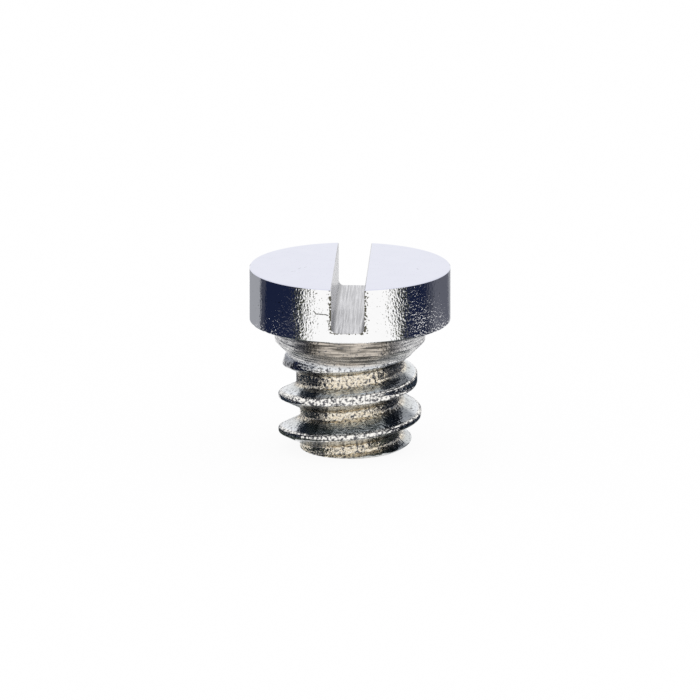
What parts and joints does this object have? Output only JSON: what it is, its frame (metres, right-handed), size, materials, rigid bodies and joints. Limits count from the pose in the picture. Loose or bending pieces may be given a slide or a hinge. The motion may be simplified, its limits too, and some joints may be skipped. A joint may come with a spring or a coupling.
{
  "type": "watch screw",
  "caption": "Tiny slotted watch screw: flat cylindrical head with a deep slot, a collar coned into the shank, a coarse right-hand thread and a flat chamfered end.",
  "frame": {"origin": "centre of the flat end that the screw stands on", "axes": "+Z runs along the screw's axis from the flat end to the head; the driver slot runs along Y"},
  "size_m": [0.0014, 0.0014, 0.0013],
  "materials": {
    "polished_steel": "bright turned and polished steel, with lengthwise saw lines on the slot's floor"
  },
  "bodies": {
    "root": {"screw": "polished_steel"}
  },
  "joints": []
}
